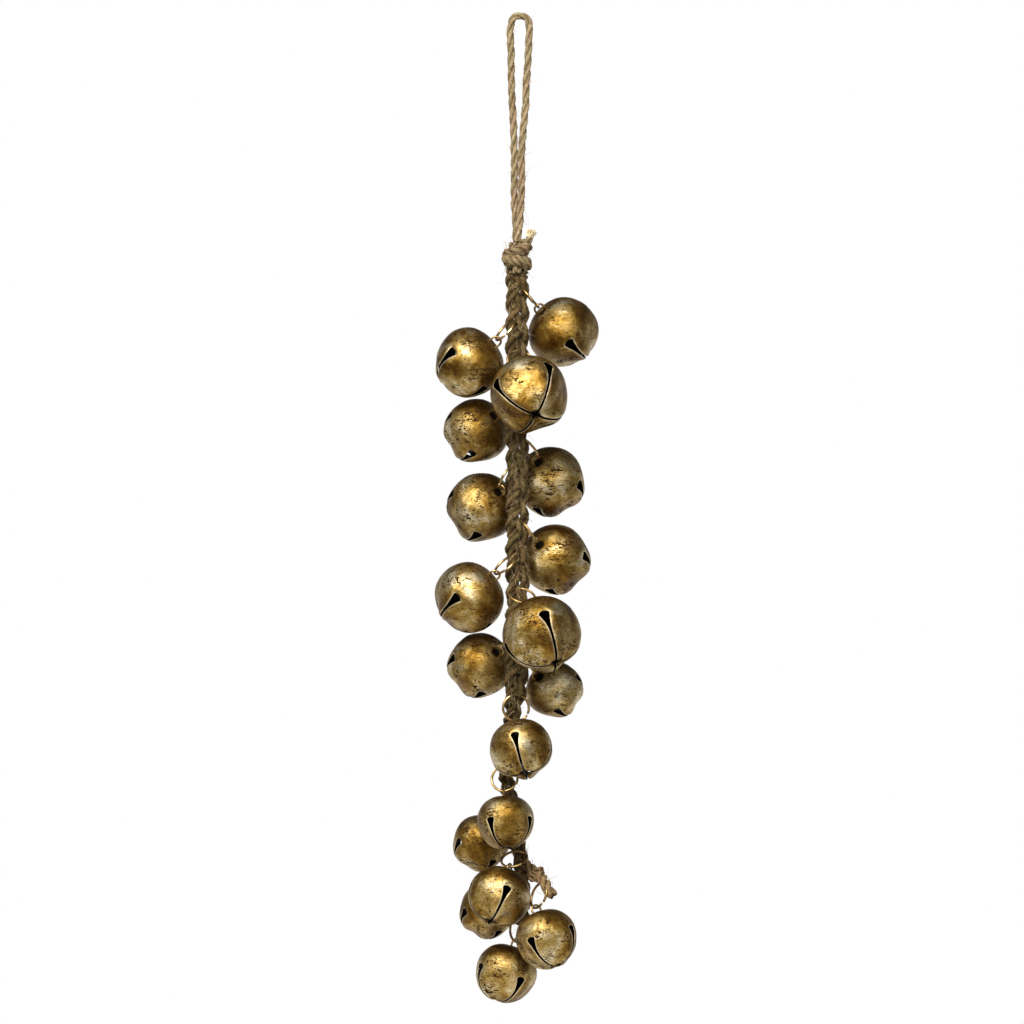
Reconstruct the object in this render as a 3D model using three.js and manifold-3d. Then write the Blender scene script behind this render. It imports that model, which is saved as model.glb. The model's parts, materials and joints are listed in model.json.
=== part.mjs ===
// A hanging strand of eighteen four-petal jingle bells.
// A twine loop is knotted onto a braided jute cord. Each bell hangs from the cord by a wire jump
// ring, has a wire bail staked through its crown, and holds one loose pellet.
// Lengths are in millimetres, +Z is up, and the origin is the inner apex of the hanging loop.

import * as THREE from 'three';
import { mergeVertices } from 'three/addons/utils/BufferGeometryUtils.js';
import Module from 'manifold-3d';

const wasm = await Module();
wasm.setup();

// Hanging loop and its knot
const loopTwineDiameter = 4;
const loopLength = 121.5;
const loopInnerWidth = 6.2;
const knotHeight = 18.6;
const knotDiameter = 14.4;
const knotTailLength = 11;
const knotTailLean = 35;
const strandOffset = 1.6;

// Braided cord
const braidLength = 357;
const braidDiameter = 12;
const thinBraidDiameter = 8.2;
const sideTailDiameter = 7.6;
const sideKnotDiameter = 9.6;

// Bells, one outer radius for each size
const bellRadii = { large: 22.2, medium: 20.2, small: 18.8, little: 17.9, tiny: 16.6 };
const shellThickness = 1;
const slitWidth = 1.4;
const pelletDiameter = 8;

// Wire fittings
const ringDiameter = 14.4;
const ringWireDiameter = 1.4;
const ringSplit = 0.5;
const bailWireDiameter = 1.2;
const bailWidth = 5.4;
const bailRise = 3.8;

// Fits
const fitGap = 0.3;
const pileGap = 0.6;
const restGap = 0.5;
const cutOverrun = 1;

// Shares that shape one bell
const petalPinchShare = 0.12;
const baseFlatShare = 0.06;
const crownFlatShare = 0.08;
const keyholeWidthShare = 0.29;
const keyholeHeightShare = -0.06;
const keyholeTaperShare = 0.5;
const bailSeatShare = 0.6;

const degrees = THREE.MathUtils.degToRad;
const { smoothstep, lerp } = THREE.MathUtils;

const bellGold = new THREE.MeshStandardMaterial({ color: 0xa98545, metalness: 0.9, roughness: 0.4 });
const wireGold = new THREE.MeshStandardMaterial({ color: 0x8a7045, metalness: 0.9, roughness: 0.45 });
const pelletSteel = new THREE.MeshStandardMaterial({ color: 0x3c3833, metalness: 0.9, roughness: 0.5 });
const juteTan = new THREE.MeshStandardMaterial({ color: 0x9c8158, metalness: 0, roughness: 0.95 });
const juteBrown = new THREE.MeshStandardMaterial({ color: 0x84694a, metalness: 0, roughness: 0.95 });

// Booleans need a closed mesh whose corners are shared.
const solidOf = (geometry) => {
  const bare = geometry.clone();
  bare.deleteAttribute('normal');
  bare.deleteAttribute('uv');
  const shared = mergeVertices(bare);
  return new wasm.Manifold(new wasm.Mesh({
    numProp: 3,
    vertProperties: new Float32Array(shared.attributes.position.array),
    triVerts: new Uint32Array(shared.index.array),
  }));
};

const geometryOf = (solid) => {
  const mesh = solid.getMesh();
  const geometry = new THREE.BufferGeometry();
  geometry.setAttribute('position', new THREE.BufferAttribute(mesh.vertProperties, mesh.numProp));
  geometry.setIndex(new THREE.BufferAttribute(mesh.triVerts, 1));
  geometry.computeVertexNormals();
  return geometry;
};

const cutAll = (geometry, cutters) => {
  const cut = cutters.reduce((solid, cutter) => solid.subtract(solidOf(cutter)), solidOf(geometry));
  return geometryOf(cut);
};

const roundSection = (radius, sides) => {
  const corner = (i) => {
    const angle = (2 * Math.PI * i) / sides;
    return new THREE.Vector2(radius * Math.cos(angle), radius * Math.sin(angle));
  };
  return new THREE.Shape(Array.from({ length: sides }, (_, i) => corner(i)));
};

const tubeAlong = (path, diameter, sides, steps) => new THREE.ExtrudeGeometry(
  roundSection(diameter / 2, sides),
  { extrudePath: path, steps, bevelEnabled: false },
);

// A lathe profile is turned about Z, from its lowest point to its highest.
const turned = (profile, sides) => {
  const geometry = new THREE.LatheGeometry(profile.map(([r, z]) => new THREE.Vector2(r, z)), sides);
  return geometry.rotateX(Math.PI / 2);
};

const piece = (name, geometry, material) => {
  const mesh = new THREE.Mesh(geometry, material);
  mesh.name = name;
  return mesh;
};

// The cord's route, as shares of the braid's length, from the knot down.
const knotTop = -loopLength;
const braidTop = knotTop - knotHeight - fitGap;

const braidRouteShares = [
  [0, 0, 0],
  [0, 0, 0.15],
  [0, 0, 0.3],
  [0, 0, 0.45],
  [0, 0, 0.6],
  [-0.004, 0.004, 0.655],
  [-0.014, 0.031, 0.725],
  [-0.017, 0.036, 0.76],
  [-0.01, 0.067, 0.82],
  [0, 0.06, 0.87],
  [0.007, 0.06, 0.92],
  [0.008, 0.063, 0.965],
  [0.007, 0.063, 1.005],
];
const sideTailRouteShares = [
  [0.016, 0.057, 0.914],
  [0.029, 0.036, 0.926],
  [0.042, 0.001, 0.9365],
  [0.048, -0.014, 0.948],
  [0.055, -0.018, 0.957],
];
const thinShare = 0.64;
const sideKnotShare = 0.3;

const routeOf = (shares) => new THREE.CatmullRomCurve3(shares.map(([x, y, drop]) => new THREE.Vector3(
  braidLength * x - strandOffset,
  braidLength * y,
  braidTop - braidLength * drop,
)), false, 'centripetal');

const braidRoute = routeOf(braidRouteShares);
const sideTailRoute = routeOf(sideTailRouteShares);

// One stretch of a longer route.
class Stretch extends THREE.Curve {
  constructor(route, start, end) {
    super();
    this.route = route;
    this.start = start;
    this.end = end;
  }

  getPoint(t, target = new THREE.Vector3()) {
    return target.copy(this.route.getPointAt(lerp(this.start, this.end, t)));
  }
}

// Each bell's size, where along its cord it hooks, the direction and lean of its ring, how the bell
// tilts and sways on the ring, and its turn about its own axis. Without a lean it rests on the cord.
const bells = [
  { size: 'medium', hookShare: 0.02, azimuth: -1, tilt: 6, sway: 20, spin: 83 },
  { size: 'medium', hookShare: 0.069, azimuth: -159, tilt: 9, sway: -27, spin: 45 },
  { size: 'large', hookShare: 0.115, azimuth: -74, tilt: 23, sway: -3, spin: 20 },
  { size: 'small', hookShare: 0.177, azimuth: -175, tilt: 10, sway: -39, spin: 21 },
  { size: 'medium', hookShare: 0.247, azimuth: 25, tilt: 8, sway: 25, spin: 17 },
  { size: 'medium', hookShare: 0.289, azimuth: 156, tilt: 28, sway: -22, spin: 46 },
  { size: 'medium', hookShare: 0.371, azimuth: 4, tilt: 16, sway: 40, spin: 36 },
  { size: 'medium', hookShare: 0.424, azimuth: -152, tilt: -5, sway: -34, spin: 55 },
  { size: 'large', hookShare: 0.473, azimuth: -72, lean: 57, tilt: -19, sway: 12, spin: 78 },
  { size: 'small', hookShare: 0.532, azimuth: 177, tilt: 21, sway: -38, spin: 47 },
  { size: 'tiny', hookShare: 0.569, azimuth: -4, tilt: 13, sway: 38, spin: 66 },
  { size: 'little', hookShare: 0.634, azimuth: -79, lean: 4, tilt: 31, sway: 2, spin: 69 },
  { size: 'tiny', hookShare: 0.749, azimuth: -102, lean: 18, tilt: -6, sway: 6, spin: 69 },
  { size: 'tiny', hookShare: 0.807, azimuth: 148, lean: 33, tilt: 5, sway: -4, spin: 72 },
  { size: 'little', hookShare: 0.889, azimuth: -112, lean: 54, tilt: -25, sway: -8, spin: 36 },
  { size: 'tiny', hookShare: 0.923, azimuth: 160, lean: 48, tilt: -7, sway: -20, spin: 66 },
  { size: 'little', hookShare: 0.7, azimuth: -150, lean: 19, tilt: -29, sway: 23, spin: 31, onTail: true },
  { size: 'little', hookShare: 0.988, azimuth: -143, lean: 7, tilt: 10, sway: -9, spin: 85 },
];
const hookOutShare = 0.4;
const leanStep = 0.5;
const splitTurn = -30;

const ringRadius = ringDiameter / 2;
const bailOverRing = bailWireDiameter / 2 + ringWireDiameter / 2 + fitGap;
const restRadius = braidDiameter / 2 + restGap;
const crownHeight = (radius) => radius * (1 - crownFlatShare);

// The lean of a ring whose bell, tilted and swayed on it, just rests against the cord.
const restingLean = (radius, out, tilt, sway) => {
  const reach = bailRise + crownHeight(radius);
  const below = reach * Math.cos(sway) - bailOverRing;
  const along = ringDiameter + below * Math.cos(tilt);
  const across = below * Math.sin(tilt);
  const away = Math.sqrt((restRadius + radius) ** 2 - (reach * Math.sin(sway)) ** 2) - out;
  return Math.asin(away / Math.hypot(along, across)) - Math.atan2(across, along);
};

// The ring hooks through the cord's outer strands, on the side that it leans to.
const placeBell = (bell) => {
  const radius = bellRadii[bell.size];
  const route = bell.onTail ? sideTailRoute : braidRoute;
  const cordDiameter = bell.hookShare < thinShare ? braidDiameter : thinBraidDiameter;
  const out = hookOutShare * (bell.onTail ? sideTailDiameter : cordDiameter) / 2;
  const azimuth = degrees(bell.azimuth);
  const tilt = degrees(bell.tilt);
  const sway = degrees(bell.sway);
  const outward = new THREE.Vector3(Math.cos(azimuth), Math.sin(azimuth), 0);
  const anchor = route.getPointAt(bell.hookShare).addScaledVector(outward, out);
  const lean = bell.lean === undefined ? restingLean(radius, out, tilt, sway) : degrees(bell.lean);
  return { radius, anchor, azimuth, lean, tilt, sway, spin: degrees(bell.spin) };
};

// The ring's group starts at its hook and runs down its -Z. The bell tilts about the ring's lowest
// point and sways about the top of its bail, and its own group is at its centre.
const hangBell = ({ radius, anchor, azimuth, lean, tilt, sway }) => {
  const ring = new THREE.Group();
  ring.position.copy(anchor);
  ring.rotation.set(0, -lean, azimuth, 'ZYX');
  const tilted = new THREE.Group();
  tilted.position.z = -ringDiameter;
  tilted.rotation.y = -tilt;
  const swayed = new THREE.Group();
  swayed.position.z = bailOverRing;
  swayed.rotation.x = sway;
  const bell = new THREE.Group();
  bell.position.z = -bailRise - crownHeight(radius);
  ring.add(tilted);
  tilted.add(swayed);
  swayed.add(bell);
  ring.updateMatrixWorld(true);
  return { ring, bell };
};

const centreOf = (placed) => hangBell(placed).bell.getWorldPosition(new THREE.Vector3());

const touching = (one, other) => (
  centreOf(one).distanceTo(centreOf(other)) < one.radius + other.radius + fitGap
);

// From the lowest bell up, each one leans out over the bells below it as far as they need.
const placedBells = [];
bells.toReversed().forEach((bell) => {
  const placed = placeBell(bell);
  while (placed.lean < degrees(90) && placedBells.some((other) => touching(placed, other))) {
    placed.lean += degrees(leanStep);
  }
  placedBells.unshift(placed);
});

// Distance of the shell from the bell's centre. It is a ball with a flattened crown and base, whose
// four petals are drawn in between the slits.
const shellReach = (radius, polar, around) => {
  const belowWaist = smoothstep(polar, degrees(65), degrees(120));
  const drawnIn = belowWaist * (1 - smoothstep(polar, degrees(140), Math.PI));
  const crown = 1 - smoothstep(polar, 0, degrees(50));
  const base = smoothstep(polar, degrees(125), Math.PI);
  const pinch = petalPinchShare * drawnIn * (1 - Math.cos(4 * around)) / 2;
  return radius * (1 - pinch) * (1 - crownFlatShare * crown) * (1 - baseFlatShare * base);
};

const petalBody = (radius, polarSteps, sides) => {
  const unitProfile = polarSteps.map((polar) => [Math.sin(degrees(polar)), Math.cos(degrees(polar))]);
  const geometry = turned(unitProfile, sides);
  const { position } = geometry.attributes;
  const point = new THREE.Vector3();
  for (let i = 0; i < position.count; i += 1) {
    point.fromBufferAttribute(position, i).normalize();
    const polar = Math.acos(THREE.MathUtils.clamp(point.z, -1, 1));
    const around = Math.atan2(point.y, point.x);
    point.multiplyScalar(shellReach(radius, polar, around));
    position.setXYZ(i, point.x, point.y, point.z);
  }
  return geometry;
};

// The teardrop keyhole and the slit below it, seen from the side, cut through both walls at once.
const keyholeCutter = (radius) => {
  const headRadius = keyholeWidthShare * radius / 2;
  const headCentre = keyholeHeightShare * radius;
  const taperEnd = -keyholeTaperShare * radius;
  const halfSlit = slitWidth / 2;
  const below = -radius - cutOverrun;
  const outline = new THREE.Shape();
  outline.moveTo(halfSlit, below);
  outline.lineTo(halfSlit, taperEnd);
  outline.absarc(0, headCentre, headRadius, degrees(-20), degrees(200), false);
  outline.lineTo(-halfSlit, taperEnd);
  outline.lineTo(-halfSlit, below);
  const depth = 2 * (radius + cutOverrun);
  const cutter = new THREE.ExtrudeGeometry(outline, { depth, curveSegments: 3, bevelEnabled: false });
  return cutter.translate(0, 0, -depth / 2).rotateX(Math.PI / 2);
};

// A wire bent in an upright plane: the path's x runs along the given level direction.
class BentWire extends THREE.Curve {
  constructor(path, across) {
    super();
    this.path = path;
    this.across = across;
  }

  getPoint(t, target = new THREE.Vector3()) {
    const flat = this.path.getPoint(t);
    return target.copy(this.across).multiplyScalar(flat.x).setZ(flat.y);
  }
}

// The bail's legs are staked in the crown, and its arch spans the ring's wire.
const bailWire = (radius) => {
  const halfWidth = bailWidth / 2;
  const seat = crownHeight(radius) - bailSeatShare * shellThickness;
  const archCentre = crownHeight(radius) + bailRise - halfWidth;
  const path = new THREE.Path();
  path.moveTo(-halfWidth, seat);
  path.lineTo(-halfWidth, archCentre);
  path.absarc(0, archCentre, halfWidth, Math.PI, 0, true);
  path.lineTo(halfWidth, seat);
  const wire = new BentWire(path, new THREE.Vector3(1, 0, 0));
  return tubeAlong(wire, bailWireDiameter, 5, 6);
};

const outerBody = (radius) => petalBody(radius, [180, 140, 100, 60, 20, 0], 16);
const innerBody = (radius) => petalBody(radius - shellThickness, [180, 140, 100, 60, 0], 8);

const bellShell = ({ radius, spin }) => {
  const outer = solidOf(outerBody(radius));
  const inner = solidOf(innerBody(radius));
  const slot = keyholeCutter(radius);
  const crossSlot = slot.clone().rotateZ(Math.PI / 2);
  const petals = outer.subtract(inner).subtract(solidOf(slot)).subtract(solidOf(crossSlot));
  const turnedPetals = geometryOf(petals).rotateZ(spin);
  return geometryOf(solidOf(turnedPetals).add(solidOf(bailWire(radius))));
};

// A jump ring is a wire circle hung on the hook point, with a fine split in its lower half.
const ringWire = (diameter) => {
  const halfSplit = ringSplit / ringDiameter;
  const start = degrees(splitTurn) + halfSplit;
  const path = new THREE.Path();
  path.absarc(0, -ringRadius, ringRadius, start, start + 2 * (Math.PI - halfSplit), false);
  const wire = new BentWire(path, new THREE.Vector3(0, 1, 0));
  return tubeAlong(wire, diameter, 5, 12);
};

// Distance from a point to the nearest face of an indexed geometry.
const distanceToFaces = ({ index, attributes }, point) => {
  const face = new THREE.Triangle();
  const nearest = new THREE.Vector3();
  let least = Infinity;
  for (let i = 0; i < index.count; i += 3) {
    const corners = [index.getX(i), index.getX(i + 1), index.getX(i + 2)];
    face.setFromAttributeAndIndices(attributes.position, ...corners);
    if (face.getArea() > 0) {
      face.closestPointToPoint(point, nearest);
      least = Math.min(least, nearest.distanceTo(point));
    }
  }
  return least;
};

// The pellet drops from the bell's centre until it lies on the inside of the shell.
const pelletPlace = ({ radius, spin }, bell) => {
  const wall = innerBody(radius).rotateZ(spin);
  const upright = bell.getWorldQuaternion(new THREE.Quaternion()).invert();
  const down = new THREE.Vector3(0, 0, -1).applyQuaternion(upright);
  const place = new THREE.Vector3();
  for (let drop = 0; drop < 30; drop += 1) {
    place.addScaledVector(down, distanceToFaces(wall, place) - pelletDiameter / 2 - fitGap);
  }
  return place;
};

const model = new THREE.Group();

// The hanging loop, from the knot up the left leg, over the top and down the right leg.
const loopHalfWidth = (loopInnerWidth + loopTwineDiameter) / 2;
const pairHalfWidth = (loopTwineDiameter + fitGap) / 2;
const loopLegShares = [
  [0.2, -1, 0, 1],
  [0.75, -0.6, 0, 0.85],
  [1, 0, 0, 0.6],
  [1, 0, 0.45, 0.4],
  [1, 0, 0.85, 0.17],
];

const loopRoute = () => {
  const arcCentre = loopTwineDiameter / 2 - loopHalfWidth;
  const leg = (side) => loopLegShares.map(([together, depth, apart, drop]) => new THREE.Vector3(
    side * lerp(together * pairHalfWidth, loopHalfWidth, apart) - strandOffset * drop,
    side * depth * pairHalfWidth,
    (knotTop + pileGap) * drop,
  ));
  const top = [180, 135, 90, 45, 0].map((angle) => new THREE.Vector3(
    loopHalfWidth * Math.cos(degrees(angle)),
    0,
    arcCentre + loopHalfWidth * Math.sin(degrees(angle)),
  ));
  return new THREE.CatmullRomCurve3([...leg(-1), ...top, ...leg(1).reverse()], false, 'centripetal');
};
model.add(piece('hanging_loop', tubeAlong(loopRoute(), loopTwineDiameter, 8, 40), juteTan));

// The knot is three wraps of twine round the cord's end, with one cut tail left standing.
const wrapProfileShares = [
  [0, -0.5], [0.62, -0.5], [0.92, -0.4], [1, -0.27], [0.84, -0.16], [0.97, -0.04], [0.95, 0.08],
  [0.8, 0.17], [0.9, 0.28], [0.8, 0.42], [0.5, 0.5], [0, 0.5],
];
const knotTailRootShare = 0.2;

const wrappedKnot = (diameter, height, sides) => turned(
  wrapProfileShares.map(([r, z]) => [r * diameter / 2, z * height]),
  sides,
);

const topKnot = () => {
  const knot = wrappedKnot(knotDiameter, knotHeight, 8);
  const root = new THREE.Vector3(knotTailRootShare * knotDiameter, 0, 0);
  const lean = new THREE.Vector3(Math.sin(degrees(knotTailLean)), 0, Math.cos(degrees(knotTailLean)));
  const tip = root.clone().addScaledVector(lean, knotHeight / 2 + knotTailLength / 2);
  const tail = tubeAlong(new THREE.LineCurve3(root, tip), loopTwineDiameter, 8, 2);
  const whole = geometryOf(solidOf(knot).add(solidOf(tail)));
  return whole.translate(-strandOffset, 0, knotTop - knotHeight / 2);
};
model.add(piece('top_knot', topKnot(), juteTan));

// Ring channels are where the wire parts the strands of the cord.
const ringChannel = (placed) => {
  const { ring } = hangBell(placed);
  return ringWire(ringWireDiameter + 2 * fitGap).applyMatrix4(ring.matrixWorld);
};
const hookedOn = (test) => placedBells.filter((_, i) => test(bells[i])).map(ringChannel);
const braidChannels = hookedOn(({ onTail }) => !onTail);
const tailChannels = hookedOn(({ onTail }) => onTail);

const upperStretch = new Stretch(braidRoute, 0, thinShare);
const lowerStretch = new Stretch(braidRoute, thinShare + pileGap / braidLength, 1);
const braidUpper = cutAll(tubeAlong(upperStretch, braidDiameter, 10, 8), braidChannels);
const braidLower = cutAll(tubeAlong(lowerStretch, thinBraidDiameter, 8, 11), braidChannels);
model.add(piece('braid_upper', braidUpper, juteBrown));
model.add(piece('braid_lower', braidLower, juteBrown));

// The side tail leaves the cord near its end, is knotted once, and carries one bell.
const sideTail = () => {
  const tail = solidOf(tubeAlong(sideTailRoute, sideTailDiameter, 8, 6));
  const knot = wrappedKnot(sideKnotDiameter, sideKnotDiameter, 8);
  const seat = sideTailRoute.getPointAt(sideKnotShare);
  const knotted = tail.add(solidOf(knot.translate(seat.x, seat.y, seat.z)));
  const clearance = tubeAlong(lowerStretch, thinBraidDiameter + 2 * fitGap, 8, 11);
  return cutAll(geometryOf(knotted), [clearance, ...tailChannels]);
};
model.add(piece('side_tail', sideTail(), juteBrown));

placedBells.forEach((placed, i) => {
  const label = String(i + 1).padStart(2, '0');
  const { ring, bell } = hangBell(placed);
  ring.add(piece(`bell_${label}_ring`, ringWire(ringWireDiameter), wireGold));
  bell.add(piece(`bell_${label}_shell`, bellShell(placed), bellGold));
  const ball = new THREE.SphereGeometry(pelletDiameter / 2, 6, 4);
  const pellet = piece(`bell_${label}_pellet`, ball, pelletSteel);
  pellet.position.copy(pelletPlace(placed, bell));
  bell.add(pellet);
  model.add(ring);
});

export default model;
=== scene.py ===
"""Looks of a hanging strand of four-petal jingle bells on a braided jute cord.

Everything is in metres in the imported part's frame: +Z up, the photograph's viewer looks along +Y,
and the origin is the inner apex of the hanging loop.
"""

import json
import math

import bmesh
import bpy
import numpy as np
from mathutils import Matrix, Vector, noise

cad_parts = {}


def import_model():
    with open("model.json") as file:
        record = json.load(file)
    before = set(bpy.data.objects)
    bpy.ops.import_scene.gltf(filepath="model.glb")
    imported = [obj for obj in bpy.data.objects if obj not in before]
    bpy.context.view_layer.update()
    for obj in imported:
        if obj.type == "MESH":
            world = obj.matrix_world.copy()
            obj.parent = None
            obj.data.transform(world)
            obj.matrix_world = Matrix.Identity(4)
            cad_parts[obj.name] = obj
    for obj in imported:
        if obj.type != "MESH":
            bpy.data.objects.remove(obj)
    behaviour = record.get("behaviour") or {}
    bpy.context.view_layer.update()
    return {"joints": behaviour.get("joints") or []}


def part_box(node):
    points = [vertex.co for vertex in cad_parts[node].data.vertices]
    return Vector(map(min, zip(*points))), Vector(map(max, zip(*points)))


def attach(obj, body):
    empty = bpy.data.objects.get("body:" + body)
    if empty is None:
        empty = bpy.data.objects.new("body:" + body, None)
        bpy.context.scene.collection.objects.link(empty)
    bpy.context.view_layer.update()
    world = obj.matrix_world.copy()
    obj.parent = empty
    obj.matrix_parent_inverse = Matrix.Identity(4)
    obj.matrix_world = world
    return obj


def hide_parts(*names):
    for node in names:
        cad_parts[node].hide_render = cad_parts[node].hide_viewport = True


MM = 0.001
TURN = 2 * math.pi
WHITE = (1, 1, 1, 1)

# The photograph's frame
FRAME_PIXELS = 1024
PIXEL = 0.55 * MM
LOOP_APEX_PIXEL = (520, 19)
LENS_MM = 200
SENSOR_MM = 36
CAMERA_NEAR = 0.01
CAMERA_FAR = 100

# Hanging loop and knot
LOOP_TWINE_DIAMETER = 4 * MM
LOOP_LENGTH = 121.5 * MM
LOOP_INNER_WIDTH = 6.2 * MM
KNOT_HEIGHT = 18.6 * MM
KNOT_DIAMETER = 14.4 * MM
KNOT_TAIL_LENGTH = 11 * MM
KNOT_TAIL_LEAN = math.radians(16)
STRAND_OFFSET = 1.6 * MM
FIT_GAP = 0.3 * MM
PILE_GAP = 0.6 * MM
LOOP_TWINE_PITCH = 24 * MM
LOOP_TWINE_FULLNESS = 1.18
LOOP_STRAY = 0.5 * MM
LOOP_STRAYS_PER_METRE = 55
LOOP_END_IN_KNOT = 1.8 * MM
KNOT_TWINE_DIAMETER = 5.2 * MM
KNOT_CORE_PITCH = 14 * MM
KNOT_TAIL_PITCH = 13 * MM
FRAY_LENGTH = 4.6 * MM

# The wraps' middle line lies this share of their twine inside the knot's outline. Its core widens downwards.
KNOT_WRAP_SINK = 0.22
KNOT_CORE_REACH = 2.2 * MM
KNOT_CORE_SPREAD = 1.9

# Braided cord
BRAID_LENGTH = 357 * MM
BRAID_DIAMETER = 12 * MM
THIN_BRAID_DIAMETER = 8.2 * MM
THIN_SHARE = 0.64
SIDE_TAIL_DIAMETER = 7.6 * MM
SIDE_KNOT_DIAMETER = 9.6 * MM
BRAID_PITCH = 35 * MM
SIDE_TAIL_PITCH = 22 * MM
SIDE_KNOT_HEIGHT = 5.2 * MM
SIDE_KNOT_TWINE_DIAMETER = 3.4 * MM
SIDE_KNOT_PLACE = 0.3

# A strand's sway to each side, its depth and its radius, as shares of the braid's thickness
STRAND_SWAY_SHARE = 0.3
STRAND_DEPTH_SHARE = 0.14
STRAND_RADIUS_SHARE = 0.232
STRAND_UNEVENNESS = 0.14
STRAND_PLY_SHARE = 0.55
STRAND_PLY_PITCH = 26 * MM

# The seen thickness over the nominal one: loose jute bulges, and the knotted side tail is pulled tight
LOOP_SWELL = 1.05
BRAID_SWELL = 1.06
THIN_BRAID_SWELL = 1.08
SIDE_TAIL_SWELL = 0.84

# Spun plies. Three round ones that touch lie in a circle of TWINE_OVER_PLY times their width.
TWINE_OVER_PLY = 2.1547
PLY_STEP = 0.55 * MM
PLY_TWIST_PER_METRE = 900
PLY_UNEVENNESS = 0.16
FIBRE_RELIEF = 0.24
FIBRES_ROUND = 2.2
FIBRES_PER_METRE = 620
LAY_PER_METRE = 90
HAIR_LAY_PER_METRE = 300
COIL_TWINE_PITCH = 12 * MM

# Bells
BELL_RADII = {
    "large": 22.2 * MM,
    "medium": 20.2 * MM,
    "small": 18.8 * MM,
    "little": 17.9 * MM,
    "tiny": 16.6 * MM,
}
SHELL_THICKNESS = 1 * MM
SLIT_WIDTH = 1.4 * MM
PELLET_DIAMETER = 8 * MM
DENT_DEPTH = 0.35 * MM
SWING_CLEARANCE = 0.35 * MM
NECK_RADIUS = 3.5 * MM
NECK_DEPTH = 1.5 * MM
RIM_ROLL_SHARE = 0.22
LIP_SHARPNESS = 34
WORN_RIM_SHARPNESS = 48
WELD_DISTANCE = 0.004 * MM
PELLET_COLUMNS = 24
PELLET_ROWS = 13

# The shell's form, as shares of its radius and as angles from its crown
BASE_FLAT_SHARE = 0.06
CROWN_FLAT_SHARE = 0.08
CROWN_END = math.radians(50)
PETAL_PINCH_SHARE = 0.107
PINCH_START = math.radians(65)
PINCH_FULL = math.radians(120)
PINCH_EASE = math.radians(140)

# The keyholes, as shares of the shell's radius
KEYHOLE_WIDTH_SHARE = 0.29
KEYHOLE_HEIGHT_SHARE = -0.06
KEYHOLE_TAPER_SHARE = 0.56
KEYHOLE_TAPER_POWER = 1.9

# How far the head's corners stand over its middle, and its arch over them, as shares of its half width
KEYHOLE_CORNER = 0.45
KEYHOLE_ARCH = 0.55

# Where the wall's columns lie across one petal, close together at the rims
HALF_COLUMN_SHARES = np.array([0, 0.01, 0.035, 0.08, 0.14, 0.21, 0.29, 0.37, 0.45, 0.5])
COLUMN_SHARES = np.concatenate([HALF_COLUMN_SHARES, 1 - HALF_COLUMN_SHARES[-2::-1]])

# Wire fittings
RING_DIAMETER = 14.4 * MM
RING_WIRE_DIAMETER = 1.4 * MM
RING_SPLIT = 0.5 * MM
RING_SPLIT_TURN = math.radians(-30)
BAIL_WIRE_DIAMETER = 1.2 * MM
BAIL_WIDTH = 5.4 * MM
BAIL_RISE = 3.8 * MM
BAIL_OVER_RING = BAIL_WIRE_DIAMETER / 2 + RING_WIRE_DIAMETER / 2 + FIT_GAP
RING_STEPS = 97
BAIL_STEPS = 90
WIRE_SIDES = 12

# The crimped end of a bail's leg: its depth below the wall, then how far out and up each point lies
CRIMP_DEPTH = 0.8 * MM
CRIMP_POINTS = [(1.7 * MM, -0.05 * MM), (0.7 * MM, 0), (0, 0.9 * MM)]

# Floor, world and lights
FLOOR_RADIUS = 0.6
FLOOR_LEVEL = -0.62
FLOOR_CORNERS = 96
FLOOR_COLOUR = (0.86, 0.86, 0.85, 1)
FADE_START = 0.3 * FLOOR_RADIUS
FADE_END = 0.95 * FLOOR_RADIUS
SOFT_LIGHT_COLOUR = (0.8, 0.8, 0.8, 1)
SOFT_LIGHT_STRENGTH = 0.24
STRAND_MIDDLE = (0, 0, -0.33)
UPPER_BELLS = (0, 0, -0.18)
OVER_THE_CAMERA = Vector((-0.35, -0.6, 0.72)).normalized()

# Each bell's size, then its tilt and sway on its ring and its turn about its own axis, in degrees
BELLS = [
    ("medium", 6, 20, 83),
    ("medium", 9, -27, 45),
    ("large", 23, -3, 20),
    ("small", 10, -39, 21),
    ("medium", 8, 25, 17),
    ("medium", 28, -22, 46),
    ("medium", 16, 40, 36),
    ("medium", -5, -34, 55),
    ("large", -19, 12, 78),
    ("small", 21, -38, 47),
    ("tiny", 13, 38, 66),
    ("little", 31, 2, 69),
    ("tiny", -6, 6, 69),
    ("tiny", 5, -4, 72),
    ("little", -25, -8, 36),
    ("tiny", -7, -20, 66),
    ("little", -29, 23, 31),
    ("little", 10, -9, 85),
]

# The cords' routes, repeated from the part, as shares of the braid's length
BRAID_ROUTE_SHARES = [
    (0, 0, 0), (0, 0, 0.15), (0, 0, 0.3), (0, 0, 0.45), (0, 0, 0.6), (-0.004, 0.004, 0.655),
    (-0.014, 0.031, 0.725), (-0.017, 0.036, 0.76), (-0.01, 0.067, 0.82), (0, 0.06, 0.87),
    (0.007, 0.06, 0.92), (0.008, 0.063, 0.965), (0.007, 0.063, 1.005),
]
SIDE_TAIL_ROUTE_SHARES = [
    (0.016, 0.057, 0.914), (0.029, 0.036, 0.926), (0.042, 0.001, 0.9365), (0.048, -0.014, 0.948),
    (0.055, -0.018, 0.957),
]

# The loop's leg from the knot up: its share of the pair's half width sideways and in depth, then how far
# it has opened out to the loop's own half width, and its share of the way down
LOOP_LEG_SHARES = [
    (0.2, -1, 0, 1), (0.75, -0.6, 0, 0.85), (1, 0, 0, 0.6), (1, 0, 0.45, 0.4), (1, 0, 0.85, 0.17),
]

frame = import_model()


# Vector helpers

def unit(rows):
    return rows / np.maximum(np.linalg.norm(rows, axis=-1, keepdims=True), 1e-12)


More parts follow.
